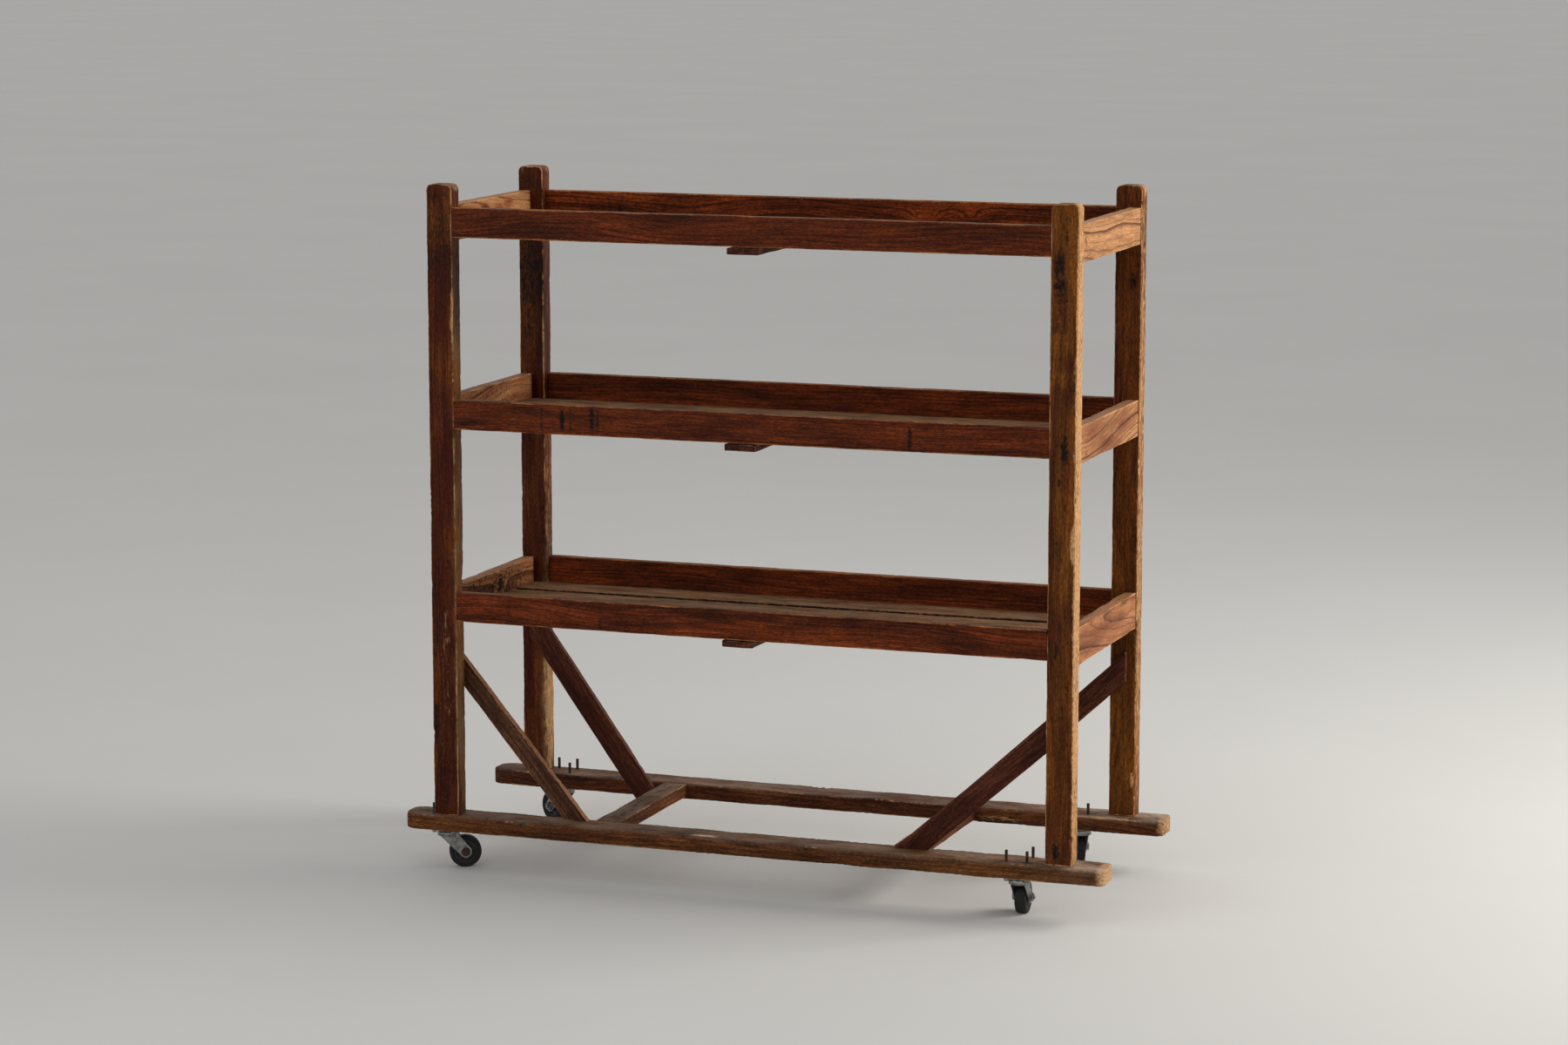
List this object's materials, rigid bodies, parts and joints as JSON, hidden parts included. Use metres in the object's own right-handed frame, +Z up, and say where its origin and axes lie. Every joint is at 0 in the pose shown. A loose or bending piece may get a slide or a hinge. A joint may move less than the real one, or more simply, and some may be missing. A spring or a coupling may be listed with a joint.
{
  "type": "bread rack",
  "caption": "Wooden bakery bread rack: posts on flat runners carry slatted trays with raised rails, braced at the foot and rolling on swivel casters.",
  "frame": {"origin": "on the floor under the middle of the rack's bounding box at rest, with the casters as they trail; the middle of the wooden frame is 16.6 mm in front of it", "axes": "+X along the length to the right, +Y into the depth away from the front, +Z up"},
  "size_m": [1.7, 0.6272, 1.61],
  "materials": {
    "post_wood": "worn stained pine, chipped arrises",
    "rail_wood": "dark red-brown stain, satin",
    "end_rail_wood": "orange-brown stain, bold grain",
    "slat_wood": "dull and dusty",
    "runner_wood": "worn and dirty",
    "brace_wood": "dark brown stain",
    "zinc_steel": "dull zinc plate",
    "wheel_hub": "grey, satin",
    "tyre_rubber": "matte black rubber"
  },
  "bodies": {
    "frame": {"runner_front": "runner_wood", "runner_back": "runner_wood", "stretcher_left": "runner_wood", "stretcher_right": "runner_wood", "post_front_left": "post_wood", "post_front_right": "post_wood", "post_back_left": "post_wood", "post_back_right": "post_wood", "front_rail_top": "rail_wood", "front_rail_middle": "rail_wood", "front_rail_bottom": "rail_wood", "back_rail_top": "rail_wood", "back_rail_middle": "rail_wood", "back_rail_bottom": "rail_wood", "end_rail_left_top": "end_rail_wood", "end_rail_left_middle": "end_rail_wood", "end_rail_left_bottom": "end_rail_wood", "end_rail_right_top": "end_rail_wood", "end_rail_right_middle": "end_rail_wood", "end_rail_right_bottom": "end_rail_wood", "slat_top_1": "slat_wood", "slat_top_2": "slat_wood", "slat_top_3": "slat_wood", "slat_top_4": "slat_wood", "bearer_top": "brace_wood", "slat_middle_1": "slat_wood", "slat_middle_2": "slat_wood", "slat_middle_3": "slat_wood", "slat_middle_4": "slat_wood", "bearer_middle": "brace_wood", "slat_bottom_1": "slat_wood", "slat_bottom_2": "slat_wood", "slat_bottom_3": "slat_wood", "slat_bottom_4": "slat_wood", "bearer_bottom": "brace_wood", "brace_front_left": "brace_wood", "brace_front_right": "brace_wood", "brace_back_left": "brace_wood", "brace_back_right": "brace_wood", "caster_plate_front_left": "zinc_steel", "caster_plate_front_right": "zinc_steel", "caster_plate_back_left": "zinc_steel", "caster_plate_back_right": "zinc_steel"},
    "fork_front_left": {"caster_fork_front_left": "zinc_steel", "caster_axle_front_left": "zinc_steel"},
    "wheel_front_left": {"wheel_hub_front_left": "wheel_hub", "tyre_front_left": "tyre_rubber"},
    "fork_front_right": {"caster_fork_front_right": "zinc_steel", "caster_axle_front_right": "zinc_steel"},
    "wheel_front_right": {"wheel_hub_front_right": "wheel_hub", "tyre_front_right": "tyre_rubber"},
    "fork_back_left": {"caster_fork_back_left": "zinc_steel", "caster_axle_back_left": "zinc_steel"},
    "wheel_back_left": {"wheel_hub_back_left": "wheel_hub", "tyre_back_left": "tyre_rubber"},
    "fork_back_right": {"caster_fork_back_right": "zinc_steel", "caster_axle_back_right": "zinc_steel"},
    "wheel_back_right": {"wheel_hub_back_right": "wheel_hub", "tyre_back_right": "tyre_rubber"}
  },
  "joints": [
    {"name": "swivel_front_left", "type": "hinge", "parent": "frame", "child": "fork_front_left", "pos_m": [-0.7525, -0.27161, 0.094], "axis": [0, 0, 1], "continuous": true},
    {"name": "roll_front_left", "type": "hinge", "parent": "fork_front_left", "child": "wheel_front_left", "pos_m": [-0.71718, -0.25283, 0.0375], "axis": [-0.4695, 0.8829, 0], "continuous": true},
    {"name": "swivel_front_right", "type": "hinge", "parent": "frame", "child": "fork_front_right", "pos_m": [0.644, -0.27161, 0.094], "axis": [0, 0, 1], "continuous": true},
    {"name": "roll_front_right", "type": "hinge", "parent": "fork_front_right", "child": "wheel_front_right", "pos_m": [0.64121, -0.23171, 0.0375], "axis": [-0.9976, -0.0698, 0], "continuous": true},
    {"name": "swivel_back_left", "type": "hinge", "parent": "frame", "child": "fork_back_left", "pos_m": [-0.671, 0.23839, 0.094], "axis": [0, 0, 1], "continuous": true},
    {"name": "roll_back_left", "type": "hinge", "parent": "fork_back_left", "child": "wheel_back_left", "pos_m": [-0.70564, 0.25839, 0.0375], "axis": [-0.5, -0.866, 0], "continuous": true},
    {"name": "swivel_back_right", "type": "hinge", "parent": "frame", "child": "fork_back_right", "pos_m": [0.641, 0.23839, 0.094], "axis": [0, 0, 1], "continuous": true},
    {"name": "roll_back_right", "type": "hinge", "parent": "fork_back_right", "child": "wheel_back_right", "pos_m": [0.62602, 0.27547, 0.0375], "axis": [-0.9272, -0.3746, 0], "continuous": true}
  ]
}
